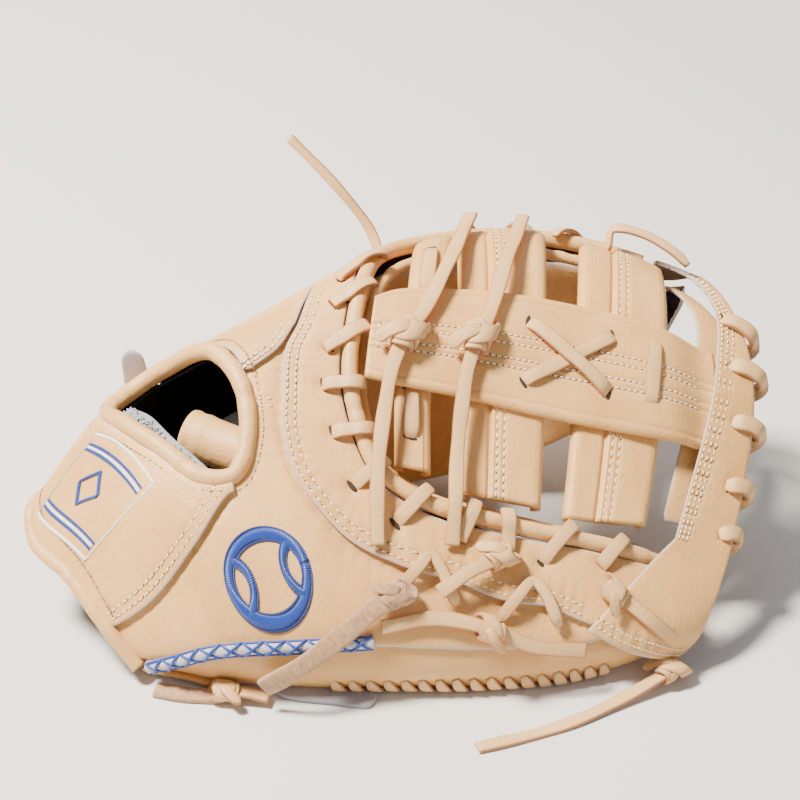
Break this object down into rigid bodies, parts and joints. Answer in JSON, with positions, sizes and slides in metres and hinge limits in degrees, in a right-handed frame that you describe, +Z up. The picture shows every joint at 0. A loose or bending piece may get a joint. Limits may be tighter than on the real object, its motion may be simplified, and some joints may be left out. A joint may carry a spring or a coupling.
{
  "type": "first baseman mitt",
  "caption": "Blond leather first baseman's mitt with an open web of bars crossed by a stitched post, leather lacing, a hand hole and a wrist strap, lying on its pocket like a tent.",
  "frame": {"origin": "on the ground under the middle of the mitt's bounding box", "axes": "+X from wrist to tip, +Y from the thumb edge to the finger edge, +Z up as it lies"},
  "size_m": [0.3372, 0.2438, 0.174],
  "materials": {
    "shell_leather": "smooth blond leather",
    "edge_leather": "rolled leather",
    "lace_leather": "cut rawhide lace",
    "rough_leather": "rough flesh side",
    "suede": "grey suede edge",
    "stitched_roll": "felted core with blue stitching",
    "fleece": "grey fleece"
  },
  "bodies": {
    "root": {"hand_back": "shell_leather", "wrist_strap": "shell_leather", "finger_panel": "shell_leather", "web_facing": "shell_leather", "web_crown": "shell_leather", "crown_backing": "edge_leather", "palm_heel": "shell_leather", "pocket_thumb_side": "shell_leather", "pocket_finger_side": "shell_leather", "web_welt": "edge_leather", "hand_hole_binding": "edge_leather", "wrist_binding": "edge_leather", "thumb_edge_roll": "stitched_roll", "palm_welt": "edge_leather", "web_bar_narrow": "shell_leather", "web_bar_middle": "shell_leather", "web_bar_wide": "shell_leather", "web_post": "shell_leather", "fleece_lining": "fleece", "finger_stall": "edge_leather", "welt_lace_1": "lace_leather", "welt_lace_2": "lace_leather", "welt_lace_3": "lace_leather", "welt_lace_4": "lace_leather", "welt_lace_5": "lace_leather", "welt_lace_6": "lace_leather", "welt_lace_7": "lace_leather", "welt_lace_8": "lace_leather", "welt_lace_9": "lace_leather", "welt_lace_10": "lace_leather", "welt_lace_11": "lace_leather", "rim_lace_1": "lace_leather", "rim_lace_2": "lace_leather", "rim_lace_3": "lace_leather", "rim_lace_4": "lace_leather", "rim_lace_5": "lace_leather", "post_lace_under": "lace_leather", "post_lace_over": "lace_leather", "post_lace_loop": "lace_leather", "bar_lace_upper": "lace_leather", "bar_lace_lower": "lace_leather", "knot_lace_left": "lace_leather", "knot_lace_right": "lace_leather", "knot_lace_thumb": "lace_leather", "knot_lace_tip": "lace_leather", "thumb_lace": "lace_leather", "seam_loop_left": "lace_leather", "seam_loop_right": "lace_leather", "rough_lace": "rough_leather", "heel_tab_upper": "shell_leather", "heel_tab_right": "suede", "heel_tab_lower": "rough_leather", "heel_knot": "lace_leather", "ground_lace": "lace_leather", "long_lace": "lace_leather", "ridge_lace_end": "lace_leather", "ridge_lace_1": "lace_leather", "ridge_lace_2": "lace_leather", "ridge_lace_3": "lace_leather", "pull_tab": "suede"}
  },
  "joints": []
}
